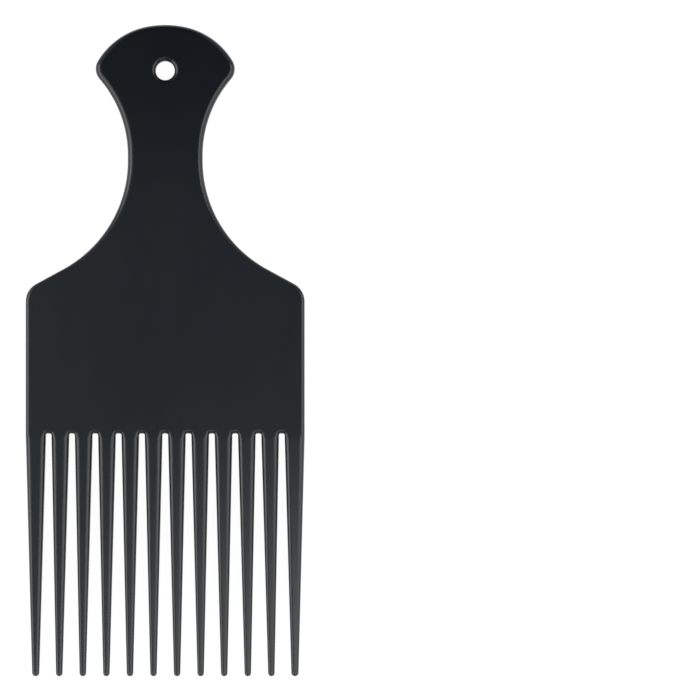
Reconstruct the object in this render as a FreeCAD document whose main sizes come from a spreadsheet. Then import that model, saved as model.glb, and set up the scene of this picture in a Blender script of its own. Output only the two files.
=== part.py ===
import FreeCAD, Part
import math
import os
import Sketcher

os.makedirs("parts", exist_ok=True)

# An afro pick lies on its back: X across the teeth, Y from the tips up to the crown, Z through the thickness.
# The origin is on the table, under the middle of the pick's length and width.

# Driving sizes, in millimetres unless the name says otherwise
sizes = {
    # whole pick
    "overall_length": 165.0,
    "thickness": 4.2,
    # fan-shaped head of the handle, and the waist below it
    "head_width": 35.2,
    "crown_radius": 24.5,
    "crown_middle_width": 9.4,
    "ear_radius": 4.0,
    "grip_radius": 29.6,
    "neck_width": 18.95,
    "neck_drop": 33.73,
    "waist_length": 1.4,
    # hole for a hook or a cord
    "hole_diameter": 4.8,
    "hole_drop": 11.6,
    # blade that carries the teeth
    "blade_width": 70.6,
    "flare_radius": 31.2,
    "shoulder_slope_degrees": 28.6,
    "shoulder_radius": 5.05,
    # slots at the roots of the teeth
    "slot_width": 1.45,
    "slot_corner_radius": 0.4,
    "root_length": 1.2,
    # teeth
    "tooth_count": 12,
    "tooth_length": 61.5,
    "edge_tooth_width": 5.06,
    "tip_radius": 0.83,
    "edge_tip_radius": 0.92,
    "edge_tip_inset": 2.46,
    "tip_thickness": 1.8,
    # rounded edges
    "handle_round": 1.5,
    "hole_round": 1.1,
    "blade_round": 0.95,
    "tooth_round": 1.3,
    "tip_round_share": 0.9,
    "round_limit_share": 0.45,
    # how far a cut runs past the body it cuts
    "overrun": 1.0,
}

# Sizes that follow from the driving sizes
derived_sizes = {
    "crown_y": "=overall_length / 2",
    "tip_y": "=-overall_length / 2",
    "neck_y": "=crown_y - neck_drop",
    "hole_y": "=crown_y - hole_drop",
    "slot_end_y": "=tip_y + tooth_length",
    "root_y": "=slot_end_y - root_length",
    "free_tooth_length": "=tooth_length - root_length",
    "inner_tooth_width":
        "=(blade_width - 2 * edge_tooth_width - (tooth_count - 1) * slot_width) / (tooth_count - 2)",
    "slot_pitch": "=inner_tooth_width + slot_width",
    "first_slot_x": "=edge_tooth_width + slot_width / 2 - blade_width / 2",
    "tip_pitch": "=(blade_width - 2 * edge_tip_inset) / (tooth_count - 1)",
    "handle_edge": "=min(handle_round; round_limit_share * thickness)",
    "hole_edge": "=min(hole_round; round_limit_share * thickness)",
    "blade_edge": "=min(blade_round; round_limit_share * thickness; round_limit_share * inner_tooth_width)",
    "tooth_edge": "=min(tooth_round; round_limit_share * thickness; round_limit_share * inner_tooth_width)",
    "tip_edge": "=tip_round_share * min(tip_radius; tip_thickness / 2)",
    "edge_tip_edge": "=tip_round_share * min(edge_tip_radius; tip_thickness / 2)",
}

doc = FreeCAD.newDocument("afro_pick")
sheet = doc.addObject("Spreadsheet::Sheet", "Sizes")
cells = {name: str(value) for name, value in sizes.items()}
cells.update(derived_sizes)
for row, (name, content) in enumerate(cells.items(), start=1):
    sheet.set(f"A{row}", name)
    sheet.setAlias(f"B{row}", name)
    sheet.set(f"B{row}", content)
doc.recompute()


def size(name):
    return float(sheet.get(name))


def point(x, y):
    return FreeCAD.Vector(x, y, 0)


def line(start, end):
    return Part.LineSegment(point(*start), point(*end))


def arc(centre, radius, from_angle, to_angle):
    circle = Part.Circle(point(*centre), FreeCAD.Vector(0, 0, 1), radius)
    return Part.ArcOfCircle(circle, from_angle, to_angle)


def along(centre, radius, angle):
    return (centre[0] + radius * math.cos(angle), centre[1] + radius * math.sin(angle))


def direction(start, end):
    return math.atan2(end[1] - start[1], end[0] - start[0])


def tangent_angle(place, centre, radius, side):
    # Angle on the circle where the line from the place touches it, on the right (1) or the left (-1).
    reach = math.hypot(place[0] - centre[0], place[1] - centre[1])
    return direction(centre, place) - side * math.acos(radius / reach)


def mirrored(place):
    return (-place[0], place[1])


# Sketch references: the axes, the origin point, and the points of a line or an arc
X_AXIS, Y_AXIS = range(-1, -3, -1)
START, END, CENTRE = range(1, 4)
ORIGIN = (X_AXIS, START)


def new_sketch(body, role, label):
    sketch = body.newObject("Sketcher::SketchObject", label)
    plane = next(item for item in body.Origin.OriginFeatures if item.Role == role)
    sketch.AttachmentSupport = [(plane, "")]
    sketch.MapMode = "FlatFace"
    return sketch


def relate(sketch, *relations):
    for relation in relations:
        sketch.addConstraint(Sketcher.Constraint(*relation))


def measure(sketch, name, expression, *relation):
    index = sketch.addConstraint(Sketcher.Constraint(*relation))
    sketch.renameConstraint(index, name)
    sketch.setExpression(f"Constraints.{name}", expression)


def new_pad(body, sketch, label):
    pad = body.newObject("PartDesign::Pad", label)
    pad.Profile = sketch
    pad.setExpression("Length", "Sizes.thickness")
    return pad


def new_through_cut(body, sketch, label):
    cut = body.newObject("PartDesign::Pocket", label)
    cut.Profile = sketch
    cut.Type = "ThroughAll"
    cut.Midplane = True
    return cut


def lies_on(edge, axis, place):
    # True if the whole edge lies in the plane square to the axis at that place.
    spread = [abs(getattr(vertex.Point, axis) - place) for vertex in edge.Vertexes]
    middle = edge.valueAt((edge.FirstParameter + edge.LastParameter) / 2)
    spread.append(abs(getattr(middle, axis) - place))
    return max(spread) < edge.Tolerance + FreeCAD.Base.Precision.confusion()


def round_edges(blank, label, end_radii):
    # Rounds every edge to which end_radii gives a radius at its start and at its end.
    edges = []
    for index, edge in enumerate(blank.Shape.Edges, start=1):
        radii = end_radii(edge)
        if radii:
            edges.append((index, *radii))
    rounded = doc.addObject("Part::Fillet", label)
    rounded.Label = label
    rounded.Base = blank
    rounded.Edges = edges
    return rounded


# Handle: the fan-shaped head with its two ears, drawn in to half of the straight waist
def make_handle():
    half_neck = size("neck_width") / 2
    waist_top = size("neck_y") + size("waist_length") / 2
    ear_radius = size("ear_radius")
    grip_radius = size("grip_radius")
    grip_centre = (half_neck + grip_radius, waist_top)
    ear_x = size("head_width") / 2 - ear_radius
    ear_y = waist_top + math.sqrt((grip_radius + ear_radius) ** 2 - (grip_centre[0] - ear_x) ** 2)
    ear_centre = (ear_x, ear_y)
    crown_radius = size("crown_radius")
    crown_centre = (0, size("crown_y") - crown_radius)
    half_middle = size("crown_middle_width") / 2
    middle_angle = math.acos(half_middle / crown_radius)
    middle_end = along(crown_centre, crown_radius, middle_angle)
    # the crown's side arc leaves its middle arc smoothly and runs onto the ear
    across = math.dist(middle_end, ear_centre)
    outward = across * math.cos(direction(ear_centre, middle_end) - middle_angle)
    side_radius = (across ** 2 - ear_radius ** 2) / (2 * (outward - ear_radius))
    side_centre = along(middle_end, -side_radius, middle_angle)
    ear_top_angle = direction(side_centre, ear_centre)
    ear_foot_angle = direction(ear_centre, grip_centre)
    grip_angle = direction(grip_centre, ear_centre)
    waist_end = (half_neck, size("neck_y"))

    body = doc.addObject("PartDesign::Body", "handle_blank")
    outline = new_sketch(body, "XY_Plane", "handle_outline")
    outline.addGeometry([
        arc(crown_centre, crown_radius, middle_angle, math.pi - middle_angle),
        arc(side_centre, side_radius, ear_top_angle, middle_angle),
        arc(ear_centre, ear_radius, ear_foot_angle, ear_top_angle),
        arc(grip_centre, grip_radius, grip_angle, math.pi),
        line((half_neck, waist_top), waist_end),
        line(waist_end, mirrored(waist_end)),
        line(mirrored(waist_end), (-half_neck, waist_top)),
        arc(mirrored(grip_centre), grip_radius, 0, math.pi - grip_angle),
        arc(mirrored(ear_centre), ear_radius, math.pi - ear_top_angle, math.pi - ear_foot_angle),
        arc(mirrored(side_centre), side_radius, math.pi - middle_angle, math.pi - ear_top_angle),
        Part.Point(point(0, size("crown_y"))),
    ], False)
    (crown, side, ear, grip, waist, foot,
     left_waist, left_grip, left_ear, left_side, crown_point) = range(11)
    outline.toggleConstruction(crown_point)
    relate(
        outline,
        ("Tangent", crown, START, side, END),
        ("Tangent", side, START, ear, END),
        ("Tangent", ear, START, grip, START),
        ("Tangent", grip, END, waist, START),
        ("Coincident", waist, END, foot, START),
        ("Coincident", foot, END, left_waist, START),
        ("Tangent", left_waist, END, left_grip, START),
        ("Tangent", left_grip, END, left_ear, END),
        ("Tangent", left_ear, START, left_side, END),
        ("Tangent", left_side, START, crown, END),
        ("Vertical", waist),
        ("Vertical", left_waist),
        ("Equal", waist, left_waist),
        ("Equal", grip, left_grip),
        ("Equal", ear, left_ear),
        ("Symmetric", foot, START, foot, END, Y_AXIS),
        ("Symmetric", crown, START, crown, END, Y_AXIS),
        ("PointOnObject", crown_point, START, crown),
        ("PointOnObject", crown_point, START, Y_AXIS),
    )
    measure(outline, "crown_radius", "Sizes.crown_radius", "Radius", crown, crown_radius)
    measure(outline, "crown_middle_width", "Sizes.crown_middle_width",
            "DistanceX", crown, END, crown, START, 2 * half_middle)
    measure(outline, "ear_radius", "Sizes.ear_radius", "Radius", ear, ear_radius)
    measure(outline, "grip_radius", "Sizes.grip_radius", "Radius", grip, grip_radius)
    measure(outline, "neck_width", "Sizes.neck_width", "DistanceX", foot, END, foot, START, 2 * half_neck)
    measure(outline, "neck_y", "Sizes.neck_y", "DistanceY", *ORIGIN, foot, START, size("neck_y"))
    measure(outline, "half_waist", "Sizes.waist_length / 2", "Distance", waist, size("waist_length") / 2)
    measure(outline, "ear_x", "Sizes.head_width / 2 - Sizes.ear_radius",
            "DistanceX", *ORIGIN, ear, CENTRE, ear_x)
    measure(outline, "left_ear_x", "Sizes.head_width / 2 - Sizes.ear_radius",
            "DistanceX", left_ear, CENTRE, *ORIGIN, ear_x)
    measure(outline, "crown_y", "Sizes.crown_y", "DistanceY", *ORIGIN, crown_point, START, size("crown_y"))
    new_pad(body, outline, "handle_plate")

    # Round hole through the head
    hole_sketch = new_sketch(body, "XY_Plane", "hole_outline")
    hole_centre = point(0, size("hole_y"))
    hole_circle = Part.Circle(hole_centre, FreeCAD.Vector(0, 0, 1), size("hole_diameter") / 2)
    hole_sketch.addGeometry(hole_circle, False)
    relate(hole_sketch, ("PointOnObject", 0, CENTRE, Y_AXIS))
    measure(hole_sketch, "hole_diameter", "Sizes.hole_diameter", "Diameter", 0, size("hole_diameter"))
    measure(hole_sketch, "hole_y", "Sizes.hole_y", "DistanceY", *ORIGIN, 0, CENTRE, size("hole_y"))
    new_through_cut(body, hole_sketch, "hang_hole")
    doc.recompute()

    def end_radii(edge):
        on_face = lies_on(edge, "z", 0) or lies_on(edge, "z", size("thickness"))
        if not on_face or lies_on(edge, "y", size("neck_y")):
            return None
        name = "hole_edge" if edge.isClosed() else "handle_edge"
        return (size(name), size(name))

    return round_edges(body, "handle", end_radii)


# Blade: the other half of the waist flares to sloping shoulders and a straight-sided plate, slotted below
def make_blade():
    half_neck = size("neck_width") / 2
    half_blade = size("blade_width") / 2
    waist_foot = size("neck_y") - size("waist_length") / 2
    flare_radius = size("flare_radius")
    shoulder_radius = size("shoulder_radius")
    slope = math.radians(size("shoulder_slope_degrees"))
    flare_centre = (half_neck + flare_radius, waist_foot)
    flare_angle = 3 * math.pi / 2 - slope
    flare_end = along(flare_centre, flare_radius, flare_angle)
    corner_x = half_blade - shoulder_radius
    corner_angle = math.pi / 2 - slope
    slope_end_x = corner_x + shoulder_radius * math.cos(corner_angle)
    slope_end = (slope_end_x, flare_end[1] - (slope_end_x - flare_end[0]) * math.tan(slope))
    corner_centre = (corner_x, slope_end[1] - shoulder_radius * math.sin(corner_angle))
    waist_start = (half_neck, size("neck_y"))
    side_start = (half_blade, corner_centre[1])
    side_end = (half_blade, size("slot_end_y"))
    root_end = (half_blade, size("root_y"))

    body = doc.addObject("PartDesign::Body", "blade_blank")
    outline = new_sketch(body, "XY_Plane", "blade_outline")
    outline.addGeometry([
        line(mirrored(waist_start), waist_start),
        line(waist_start, (half_neck, waist_foot)),
        arc(flare_centre, flare_radius, math.pi, flare_angle),
        line(flare_end, slope_end),
        arc(corner_centre, shoulder_radius, 0, corner_angle),
        line(side_start, side_end),
        line(side_end, root_end),
        line(root_end, mirrored(root_end)),
        line(mirrored(root_end), mirrored(side_end)),
        line(mirrored(side_end), mirrored(side_start)),
        arc(mirrored(corner_centre), shoulder_radius, math.pi - corner_angle, math.pi),
        line(mirrored(slope_end), mirrored(flare_end)),
        arc(mirrored(flare_centre), flare_radius, slope - math.pi / 2, 0),
        line((-half_neck, waist_foot), mirrored(waist_start)),
    ], False)
    (top, waist, flare, slope_line, corner, side, root_side, foot,
     left_root_side, left_side, left_corner, left_slope, left_flare, left_waist) = range(14)
    relate(
        outline,
        ("Coincident", top, END, waist, START),
        ("Tangent", waist, END, flare, START),
        ("Tangent", flare, END, slope_line, START),
        ("Tangent", slope_line, END, corner, END),
        ("Tangent", corner, START, side, START),
        ("Coincident", side, END, root_side, START),
        ("Coincident", root_side, END, foot, START),
        ("Coincident", foot, END, left_root_side, START),
        ("Coincident", left_root_side, END, left_side, START),
        ("Tangent", left_side, END, left_corner, END),
        ("Tangent", left_corner, START, left_slope, START),
        ("Tangent", left_slope, END, left_flare, START),
        ("Tangent", left_flare, END, left_waist, START),
        ("Coincident", left_waist, END, top, START),
        ("Vertical", waist),
        ("Vertical", left_waist),
        ("Vertical", side),
        ("Vertical", left_side),
        ("Vertical", root_side),
        ("Vertical", left_root_side),
        ("Equal", waist, left_waist),
        ("Equal", flare, left_flare),
        ("Equal", corner, left_corner),
        ("Equal", root_side, left_root_side),
        ("Symmetric", top, START, top, END, Y_AXIS),
        ("Symmetric", foot, START, foot, END, Y_AXIS),
        ("Horizontal", corner, CENTRE, left_corner, CENTRE),
    )
    measure(outline, "neck_width", "Sizes.neck_width", "DistanceX", top, START, top, END, 2 * half_neck)
    measure(outline, "neck_y", "Sizes.neck_y", "DistanceY", *ORIGIN, top, START, size("neck_y"))
    measure(outline, "half_waist", "Sizes.waist_length / 2", "Distance", waist, size("waist_length") / 2)
    measure(outline, "flare_radius", "Sizes.flare_radius", "Radius", flare, flare_radius)
    measure(outline, "shoulder_radius", "Sizes.shoulder_radius", "Radius", corner, shoulder_radius)
    measure(outline, "shoulder_slope", "Sizes.shoulder_slope_degrees * 1 deg", "Angle", left_slope, slope)
    measure(outline, "blade_width", "Sizes.blade_width", "DistanceX", foot, END, foot, START, 2 * half_blade)
    measure(outline, "root_y", "Sizes.root_y", "DistanceY", *ORIGIN, foot, START, size("root_y"))
    measure(outline, "root_length", "Sizes.root_length", "Distance", root_side, size("root_length"))
    plate = new_pad(body, outline, "blade_plate")

    # Blunt slot between the roots of the first two teeth, repeated between all the others
    half_slot = size("slot_width") / 2
    corner_radius = size("slot_corner_radius")
    slot_left = size("first_slot_x") - half_slot
    slot_right = size("first_slot_x") + half_slot
    slot_foot = size("root_y") - size("overrun")
    slot_end = size("slot_end_y")
    slot_corner_y = slot_end - corner_radius
    slot_sketch = new_sketch(body, "XY_Plane", "slot_outline")
    slot_sketch.addGeometry([
        line((slot_left, slot_foot), (slot_left, slot_corner_y)),
        arc((slot_left + corner_radius, slot_corner_y), corner_radius, math.pi / 2, math.pi),
        line((slot_left + corner_radius, slot_end), (slot_right - corner_radius, slot_end)),
        arc((slot_right - corner_radius, slot_corner_y), corner_radius, 0, math.pi / 2),
        line((slot_right, slot_corner_y), (slot_right, slot_foot)),
        line((slot_right, slot_foot), (slot_left, slot_foot)),
    ], False)
    left_wall, left_round, end_wall, right_round, right_wall, mouth = range(6)
    relate(
        slot_sketch,
        ("Tangent", left_wall, END, left_round, END),
        ("Tangent", left_round, START, end_wall, START),
        ("Tangent", end_wall, END, right_round, END),
        ("Tangent", right_round, START, right_wall, START),
        ("Coincident", right_wall, END, mouth, START),
        ("Coincident", mouth, END, left_wall, START),
        ("Vertical", left_wall),
        ("Vertical", right_wall),
        ("Horizontal", end_wall),
        ("Horizontal", mouth),
        ("Equal", left_round, right_round),
    )
    measure(slot_sketch, "slot_left", "Sizes.first_slot_x - Sizes.slot_width / 2",
            "DistanceX", *ORIGIN, left_wall, START, slot_left)
    measure(slot_sketch, "slot_width", "Sizes.slot_width",
            "DistanceX", mouth, END, mouth, START, 2 * half_slot)
    measure(slot_sketch, "slot_end", "Sizes.slot_end_y", "DistanceY", *ORIGIN, end_wall, START, slot_end)
    measure(slot_sketch, "slot_foot", "Sizes.root_y - Sizes.overrun",
            "DistanceY", *ORIGIN, mouth, START, slot_foot)
    measure(slot_sketch, "corner_radius", "Sizes.slot_corner_radius", "Radius", left_round, corner_radius)
    first_slot = new_through_cut(body, slot_sketch, "first_slot")
    slots = body.newObject("PartDesign::LinearPattern", "slots")
    slots.Originals = [first_slot]
    slots.Direction = (slot_sketch, ["H_Axis"])
    slots.setExpression("Occurrences", "Sizes.tooth_count - 1")
    slots.setExpression("Length", "(Sizes.tooth_count - 2) * Sizes.slot_pitch")
    body.Tip = slots
    # the corners between the plate's sides and the roots stay, so that the round can change there
    for feature in (plate, first_slot, slots):
        feature.Refine = False
    doc.recompute()

    def radius_at(vertex):
        # the round fades along the flare from the handle's to the plate's, and along the root to the tooth's
        if vertex.Point.y > waist_foot - vertex.Tolerance:
            return size("handle_edge")
        if vertex.Point.y < size("root_y") + vertex.Tolerance:
            return size("tooth_edge")
        return size("blade_edge")

    def end_radii(edge):
        on_face = lies_on(edge, "z", 0) or lies_on(edge, "z", size("thickness"))
        if not on_face or lies_on(edge, "y", size("neck_y")) or lies_on(edge, "y", size("root_y")):
            return None
        return (radius_at(edge.firstVertex()), radius_at(edge.lastVertex()))

    return round_edges(body, "blade", end_radii)


# Tooth: a tapering bar with a round tip, thinned alike on both faces, standing on its root in the blade
def make_tooth(number):
    label = f"tooth_{number:02d}"
    on_edge = number in (1, int(size("tooth_count")))
    root_width_name = "edge_tooth_width" if on_edge else "inner_tooth_width"
    tip_radius_name = "edge_tip_radius" if on_edge else "tip_radius"
    tip_edge_name = "edge_tip_edge" if on_edge else "tip_edge"
    if number == 1:
        root_x = "Sizes.edge_tooth_width / 2 - Sizes.blade_width / 2"
    elif on_edge:
        root_x = "Sizes.blade_width / 2 - Sizes.edge_tooth_width / 2"
    else:
        root_x = f"Sizes.first_slot_x + ({number} - 1.5) * Sizes.slot_pitch"
    tip_x = f"Sizes.edge_tip_inset - Sizes.blade_width / 2 + ({number} - 1) * Sizes.tip_pitch"

    body = doc.addObject("PartDesign::Body", label + "_blank")
    body.setExpression("Placement.Base.x", root_x)
    body.setExpression("Placement.Base.y", "Sizes.root_y")
    doc.recompute()

    # plan: straight sides that run from the root onto the round tip
    half_root = size(root_width_name) / 2
    tip_radius = size(tip_radius_name)
    lean = body.evalExpression(tip_x) - body.Placement.Base.x
    tip_centre = (lean, tip_radius - size("free_tooth_length"))
    right_root = (half_root, 0)
    left_root = (-half_root, 0)
    right_angle = tangent_angle(right_root, tip_centre, tip_radius, 1)
    left_angle = tangent_angle(left_root, tip_centre, tip_radius, -1)
    outline = new_sketch(body, "XY_Plane", label + "_outline")
    outline.addGeometry([
        line(left_root, right_root),
        line(right_root, along(tip_centre, tip_radius, right_angle)),
        arc(tip_centre, tip_radius, left_angle, right_angle),
        line(along(tip_centre, tip_radius, left_angle), left_root),
    ], False)
    root, right_side, tip, left_side = range(4)
    relate(
        outline,
        ("Coincident", root, END, right_side, START),
        ("Tangent", right_side, END, tip, END),
        ("Tangent", tip, START, left_side, START),
        ("Coincident", left_side, END, root, START),
        ("PointOnObject", root, START, X_AXIS),
        ("Symmetric", root, START, root, END, Y_AXIS),
    )
    measure(outline, "root_width", f"Sizes.{root_width_name}",
            "DistanceX", root, START, root, END, 2 * half_root)
    measure(outline, "tip_radius", f"Sizes.{tip_radius_name}", "Radius", tip, tip_radius)
    measure(outline, "lean", f"{tip_x} - ({root_x})", "DistanceX", *ORIGIN, tip, CENTRE, lean)
    measure(outline, "tip_y", f"Sizes.{tip_radius_name} - Sizes.free_tooth_length",
            "DistanceY", *ORIGIN, tip, CENTRE, tip_centre[1])
    new_pad(body, outline, label + "_bar")

    # side view: a wedge off the front and a wedge off the back thin the bar towards its tip
    thickness = size("thickness")
    tip_end = -size("free_tooth_length")
    tip_drop = (thickness - size("tip_thickness")) / 2
    wedges = new_sketch(body, "YZ_Plane", label + "_thinning")
    wedges.addGeometry([
        line((0, thickness), (tip_end, thickness)),
        line((tip_end, thickness), (tip_end, thickness - tip_drop)),
        line((tip_end, thickness - tip_drop), (0, thickness)),
        line((0, 0), (tip_end, tip_drop)),
        line((tip_end, tip_drop), (tip_end, 0)),
        line((tip_end, 0), (0, 0)),
    ], False)
    front_face, front_end, front_cut, back_cut, back_end, back_face = range(6)
    relate(
        wedges,
        ("Coincident", front_face, END, front_end, START),
        ("Coincident", front_end, END, front_cut, START),
        ("Coincident", front_cut, END, front_face, START),
        ("Coincident", back_cut, END, back_end, START),
        ("Coincident", back_end, END, back_face, START),
        ("Coincident", back_face, END, back_cut, START),
        ("Horizontal", front_face),
        ("Vertical", front_end),
        ("Vertical", back_end),
        ("Horizontal", back_face),
        ("PointOnObject", front_face, START, Y_AXIS),
        ("Coincident", back_cut, START, *ORIGIN),
        ("Equal", front_face, back_face),
        ("Equal", front_end, back_end),
    )
    measure(wedges, "thickness", "Sizes.thickness", "DistanceY", *ORIGIN, front_face, START, thickness)
    measure(wedges, "tip_end", "Sizes.free_tooth_length", "Distance", front_face, -tip_end)
    measure(wedges, "tip_drop", "(Sizes.thickness - Sizes.tip_thickness) / 2",
            "Distance", front_end, tip_drop)
    new_through_cut(body, wedges, label + "_taper")
    doc.recompute()

    def end_radii(edge):
        beside = body.Shape.ancestorsOfType(edge, Part.Face)
        on_face = any(abs(face.normalAt(0, 0).z) > math.cos(math.pi / 4) for face in beside)
        if not on_face or lies_on(edge, "y", size("root_y")):
            return None
        # the round shrinks from its root size to what the tip can take
        ends = (edge.firstVertex(), edge.lastVertex())
        at_root = [vertex.Point.y > size("root_y") - edge.Tolerance for vertex in ends]
        return tuple(size("tooth_edge" if high else tip_edge_name) for high in at_root)

    return round_edges(body, label, end_radii)


nodes = [make_handle(), make_blade()]
nodes += [make_tooth(number) for number in range(1, int(size("tooth_count")) + 1)]
doc.recompute()

for item in doc.Objects:
    if "Invalid" in item.State or "Error" in item.State:
        raise RuntimeError(f"{item.Label} did not build")
for node in nodes:
    if node.Shape.isNull() or not node.Shape.isValid():
        raise RuntimeError(f"{node.Label} has no valid solid")
for node in nodes:
    node.Shape.exportStep(f"parts/{node.Label}.step")
    print(node.Label, len(node.Shape.Solids), round(node.Shape.Volume, 2))
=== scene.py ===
import math

import bpy
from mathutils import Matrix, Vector


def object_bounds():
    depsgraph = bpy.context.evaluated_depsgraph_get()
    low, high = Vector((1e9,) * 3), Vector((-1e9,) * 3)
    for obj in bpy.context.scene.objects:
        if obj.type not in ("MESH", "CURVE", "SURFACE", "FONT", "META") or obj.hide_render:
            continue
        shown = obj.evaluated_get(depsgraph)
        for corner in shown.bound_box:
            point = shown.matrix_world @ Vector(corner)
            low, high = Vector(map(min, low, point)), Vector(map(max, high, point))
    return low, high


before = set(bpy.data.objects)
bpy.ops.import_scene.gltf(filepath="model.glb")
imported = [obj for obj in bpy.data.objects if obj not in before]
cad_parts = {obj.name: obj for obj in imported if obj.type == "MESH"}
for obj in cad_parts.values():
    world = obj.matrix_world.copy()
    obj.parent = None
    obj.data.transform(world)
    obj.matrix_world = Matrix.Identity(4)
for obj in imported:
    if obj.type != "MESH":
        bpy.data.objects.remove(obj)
cad_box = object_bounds()


# Handle
# The fan-shaped head and the upper neck of a pick that is injection moulded in one shot from black plastic.
# The steel mould leaves a satin face, soft rims and a hair-thin parting line; the head's darker black is
# painted shade.
def new_group(name, settings, results):
    # A shader node group with number inputs, each at its usual value, and number outputs.
    group = bpy.data.node_groups.new(name, "ShaderNodeTree")
    for label, usual in settings.items():
        socket = group.interface.new_socket(label, in_out="INPUT", socket_type="NodeSocketFloat")
        socket.default_value = usual
    for label in results:
        group.interface.new_socket(label, in_out="OUTPUT", socket_type="NodeSocketFloat")
    return group, group.nodes.new("NodeGroupInput").outputs, group.nodes.new("NodeGroupOutput").inputs


def add_node(tree, kind, inputs, **settings):
    # A node whose inputs are each given a value, or joined to another node's output.
    node = tree.nodes.new(kind)
    for name, value in settings.items():
        setattr(node, name, value)
    for name, value in inputs.items():
        if isinstance(value, bpy.types.NodeSocket):
            tree.links.new(value, node.inputs[name])
        else:
            node.inputs[name].default_value = value
    return node


def add_math(tree, operation, *terms):
    # One step of arithmetic on numbers and other nodes' outputs.
    return add_node(tree, "ShaderNodeMath", dict(enumerate(terms)), operation=operation).outputs["Value"]


def add_ramp(tree, value, start, end):
    # A soft step from 0 at start to 1 at end.
    limits = {"Value": value, "From Min": start, "From Max": end}
    return add_node(tree, "ShaderNodeMapRange", limits, interpolation_type="SMOOTHSTEP").outputs["Result"]


def add_mix(tree, share, first, second):
    # A colour between the first and the second, by the places of a Mix node's colour sockets.
    share_socket, first_socket, second_socket, colour_socket = 0, 6, 7, 2
    inputs = {share_socket: share, first_socket: first, second_socket: second}
    return add_node(tree, "ShaderNodeMix", inputs, data_type="RGBA").outputs[colour_socket]


def surface(tree, reading):
    # The place on the pick (Object) or the direction that the surface faces (Normal).
    return tree.nodes.new("ShaderNodeTexCoord").outputs[reading]


def part_of(tree, vector, axis):
    # The X, Y or Z of a place or a direction.
    return add_node(tree, "ShaderNodeSeparateXYZ", {"Vector": vector}).outputs[axis]


def add_noise(tree, width, length, detail):
    # Noise in patches of this width, stretched to this length along the teeth.
    patch = add_node(tree, "ShaderNodeCombineXYZ", {"X": width, "Y": length, "Z": width}).outputs["Vector"]
    terms = {0: surface(tree, "Object"), 1: patch}
    place = add_node(tree, "ShaderNodeVectorMath", terms, operation="DIVIDE").outputs["Vector"]
    noise = {"Vector": place, "Scale": 1.0, "Detail": detail}
    return add_node(tree, "ShaderNodeTexNoise", noise).outputs["Fac"]


# fine grain of the mould face, and soft streaks where the melt ran towards the tips
moulded_face, size, result = new_group(
    "moulded_face",
    {"Grain Size": 0.0005, "Streak Width": 0.008, "Streak Length": 0.03},
    ["Grain", "Streak"],
)
grain = add_noise(moulded_face, size["Grain Size"], size["Grain Size"], detail=2.0)
streak = add_noise(moulded_face, size["Streak Width"], size["Streak Length"], detail=2.0)
moulded_face.links.new(grain, result["Grain"])
moulded_face.links.new(streak, result["Streak"])

# hairline scratches that run along the teeth
hairlines, size, result = new_group(
    "hairlines",
    {"Spacing": 0.0006, "Length": 0.012, "Faint": 0.45, "Deep": 0.85},
    ["Hairline"],
)
scratch = add_noise(hairlines, size["Spacing"], size["Length"], detail=1.0)
hairlines.links.new(add_ramp(hairlines, scratch, size["Faint"], size["Deep"]), result["Hairline"])

# rims that hands and hair rub smooth, where the surface turns away from the two flat faces
rubbed_rim, limit, result = new_group("rubbed_rim", {"Flat": 0.98, "Upright": 0.35}, ["Rim"])
levelness = add_math(rubbed_rim, "ABSOLUTE", part_of(rubbed_rim, surface(rubbed_rim, "Normal"), "Z"))
rubbed_rim.links.new(add_ramp(rubbed_rim, levelness, limit["Flat"], limit["Upright"]), result["Rim"])

# parting line where the two mould halves meet, half way up the sides
low_corner, high_corner = cad_box
middle_height = (low_corner[2] + high_corner[2]) / 2
parting_line, size, result = new_group(
    "parting_line",
    {"Height": middle_height, "Width": 0.00018},
    ["Ridge"],
)
height = part_of(parting_line, surface(parting_line, "Object"), "Z")
off_line = add_math(parting_line, "ABSOLUTE", add_math(parting_line, "SUBTRACT", height, size["Height"]))
parting_line.links.new(add_ramp(parting_line, off_line, size["Width"], 0.0), result["Ridge"])

# painted light and shade: the black is painted darkest at the crown and greyer down to the shoulders, and the
# ends of the teeth are painted paler as a painted highlight
crown_end = high_corner[1]
tooth_end = low_corner[1]
darkest_length = 0.0025
fade_length = 0.058
pale_length = 0.0013
palest_length = 0.0002
painted_shading, limit, result = new_group(
    "painted_shading",
    {
        "Darkest Above": crown_end - darkest_length,
        "Hazed Below": crown_end - darkest_length - fade_length,
        "Tip Start": tooth_end + pale_length,
        "Tip End": tooth_end + palest_length,
    },
    ["Haze", "Tip"],
)
along_pick = part_of(painted_shading, surface(painted_shading, "Object"), "Y")
painted_light = add_ramp(painted_shading, along_pick, limit["Darkest Above"], limit["Hazed Below"])
tip_highlight = add_ramp(painted_shading, along_pick, limit["Tip Start"], limit["Tip End"])
painted_shading.links.new(painted_light, result["Haze"])
painted_shading.links.new(tip_highlight, result["Tip"])


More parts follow.
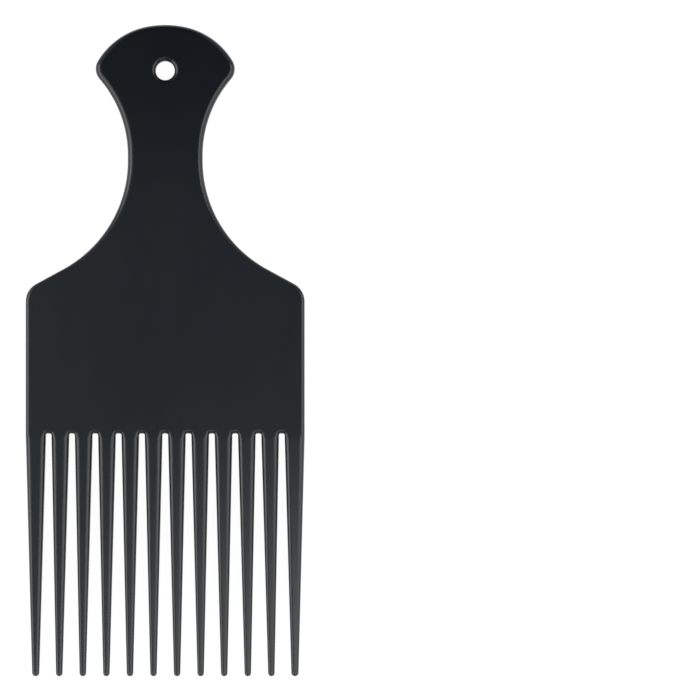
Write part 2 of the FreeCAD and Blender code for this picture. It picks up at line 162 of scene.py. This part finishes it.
def moulded_plastic(name, hairline_roughness):
    # The black plastic of one region of the pick, with the roughness that its deepest scratches add.
    deep_black = (0.0014, 0.0040, 0.0070, 1)
    # painted light: the greyer black that the blade and teeth are painted
    painted_grey_black = (0.0086, 0.0118, 0.0155, 1)
    # painted highlight: the pale grey that the ends of the teeth are painted
    painted_tip_grey = (0.055, 0.058, 0.061, 1)
    plastic_ior = 1.5
    satin_roughness = 0.24
    streak_roughness = 0.02
    streak_share = 0.25
    rim_polish = 0.02
    grain_height = 0.000001
    ridge_height = 0.000012

    material = bpy.data.materials.new(name)
    material.use_nodes = True
    tree = material.node_tree
    face, scratch, rim, seam, painted_light = (
        add_node(tree, "ShaderNodeGroup", {}, node_tree=group).outputs
        for group in (moulded_face, hairlines, rubbed_rim, parting_line, painted_shading)
    )

    # painted shade and light: darkest black at the head, greyer in streaks towards the blade and teeth, and a
    # painted highlight that makes the tips palest
    streak = add_math(tree, "MULTIPLY_ADD", face["Streak"], 2 * streak_share, 1 - streak_share)
    painted_share = add_math(tree, "MULTIPLY", painted_light["Haze"], streak)
    colour = add_mix(tree, painted_share, deep_black, painted_grey_black)
    colour = add_mix(tree, painted_light["Tip"], colour, painted_tip_grey)

    # satin all over, rougher in the scratches and smoother on the rims
    least_roughness = satin_roughness - streak_roughness
    roughness = add_math(tree, "MULTIPLY_ADD", face["Streak"], 2 * streak_roughness, least_roughness)
    roughness = add_math(tree, "MULTIPLY_ADD", scratch["Hairline"], hairline_roughness, roughness)
    roughness = add_math(tree, "MULTIPLY_ADD", rim["Rim"], -rim_polish, roughness)

    # heights in metres
    relief = add_math(tree, "MULTIPLY", face["Grain"], grain_height)
    relief = add_math(tree, "MULTIPLY_ADD", seam["Ridge"], ridge_height, relief)
    bump = add_node(tree, "ShaderNodeBump", {"Distance": 1.0, "Height": relief})

    shader = tree.nodes["Principled BSDF"]
    shader.inputs["IOR"].default_value = plastic_ior
    tree.links.new(colour, shader.inputs["Base Color"])
    tree.links.new(roughness, shader.inputs["Roughness"])
    tree.links.new(bump.outputs["Normal"], shader.inputs["Normal"])
    return material


def dress(node, material):
    # Gives a solid this material and no other.
    piece = bpy.data.objects[node]
    piece.data.materials.clear()
    piece.data.materials.append(material)


dress("handle", moulded_plastic("handle_plastic", hairline_roughness=0.008))

# Blade
# The plate that carries the teeth, with the lower neck and sloping shoulders, from the same shot of plastic.
# Hair and a drawer rub it, so it has more hairline scratches; its black is painted greyer than the head's, as
# painted light.
dress("blade", moulded_plastic("blade_plastic", hairline_roughness=0.015))

# Teeth
# Twelve tapered teeth run out of the blade in the same plastic, rounded all over to slide through hair.
# Combing scratches them lengthwise more than any other part.
tooth_count = 12
tooth_plastic = moulded_plastic("tooth_plastic", hairline_roughness=0.03)
for number in range(1, tooth_count + 1):
    dress(f"tooth_{number:02d}", tooth_plastic)

# Floor
# A photographer's light table: a dull top that glows white from below, so the pick throws hardly a shadow.
# It lies a hair's breadth under the back of the pick.
floor_size = 8.0
floor_gap = 0.0001
floor_glow = 0.965
floor_grey = (0.1, 0.1, 0.1, 1)
white_light = (1, 1, 1, 1)
bpy.ops.mesh.primitive_plane_add(size=floor_size, location=(0, 0, -floor_gap))
floor = bpy.context.object
floor.name = "floor"
light_table = bpy.data.materials.new("light_table")
light_table.use_nodes = True
table_shader = light_table.node_tree.nodes["Principled BSDF"]
table_shader.inputs["Base Color"].default_value = floor_grey
table_shader.inputs["Roughness"].default_value = 1.0
table_shader.inputs["Specular IOR Level"].default_value = 0.0
table_shader.inputs["Emission Color"].default_value = white_light
table_shader.inputs["Emission Strength"].default_value = floor_glow
floor.data.materials.append(light_table)

# Studio light
# Broad soft boxes stand left and right, each over a weaker one, with one in front and two weak ones behind.
# Four small ones hang higher, over the tips and both sides. The room is dim, but the camera sees it white.
light_aim = Vector((0, -0.01, 0))


def soft_box(name, bearing, elevation, distance, across, up, radiance):
    # Angles in degrees: bearing 0 is to the right of the pick and 90 behind its crown.
    # Across and up are the angles that the box fills, seen from the pick.
    level = math.cos(math.radians(elevation))
    direction = Vector((
        level * math.cos(math.radians(bearing)),
        level * math.sin(math.radians(bearing)),
        math.sin(math.radians(elevation)),
    ))
    lamp = bpy.data.lights.new(name, "AREA")
    lamp.shape = "RECTANGLE"
    lamp.size = 2 * distance * math.tan(math.radians(across / 2))
    lamp.size_y = 2 * distance * math.tan(math.radians(up / 2))
    lamp.energy = math.pi * lamp.size * lamp.size_y * radiance
    box = bpy.data.objects.new(name, lamp)
    box.location = light_aim + distance * direction
    box.rotation_euler = direction.to_track_quat("Z", "Y").to_euler()
    box.visible_camera = False
    bpy.context.scene.collection.objects.link(box)


stand_distance = 0.7
soft_box("left_box", bearing=190, elevation=39, distance=stand_distance, across=60, up=32, radiance=3.15)
soft_box("low_left_box", bearing=190, elevation=11, distance=stand_distance, across=60, up=22, radiance=1.2)
soft_box("right_box", bearing=355, elevation=39, distance=stand_distance, across=54, up=32, radiance=1.95)
soft_box("low_right_box", bearing=355, elevation=11, distance=stand_distance, across=54, up=22, radiance=0.95)
soft_box("back_left_box", bearing=148, elevation=30, distance=stand_distance, across=44, up=40, radiance=0.45)
soft_box("back_right_box", bearing=38, elevation=30, distance=stand_distance, across=50, up=40, radiance=0.4)
soft_box("front_box", bearing=280, elevation=16, distance=stand_distance, across=40, up=30, radiance=0.9)
soft_box("over_tips_box", bearing=283, elevation=73, distance=0.5, across=22, up=14, radiance=1.45)
soft_box("over_right_box", bearing=303, elevation=68, distance=0.36, across=26, up=16, radiance=1.35)
soft_box("over_left_box", bearing=178, elevation=68, distance=0.4, across=20, up=14, radiance=1.3)
soft_box("beside_right_box", bearing=338, elevation=58, distance=0.6, across=30, up=18, radiance=1.45)

room_glow = 0.12
backdrop_glow = 0.96
room = bpy.data.worlds.new("room")
room.use_nodes = True
room_light = room.node_tree.nodes["Background"]
room_light.inputs["Color"].default_value = white_light
seen_directly = room.node_tree.nodes.new("ShaderNodeLightPath").outputs["Is Camera Ray"]
glow = add_math(room.node_tree, "MULTIPLY_ADD", seen_directly, backdrop_glow - room_glow, room_glow)
room.node_tree.links.new(glow, room_light.inputs["Strength"])
bpy.context.scene.world = room
bpy.context.scene.view_settings.view_transform = "Standard"

# Camera
# It looks straight down, square on to the pick, which lies left of the middle of the picture.
# The frame width is what the picture spans half way through the pick's thickness.
camera_distance = 1.1
frame_width = 0.17737
camera_right = 0.04679
camera_forward = 0.00017
camera_data = bpy.data.cameras.new("camera")
camera_data.lens = camera_data.sensor_width * camera_distance / frame_width
camera = bpy.data.objects.new("camera", camera_data)
camera.location = (camera_right, camera_forward, camera_distance + middle_height)
bpy.context.scene.collection.objects.link(camera)
bpy.context.scene.camera = camera
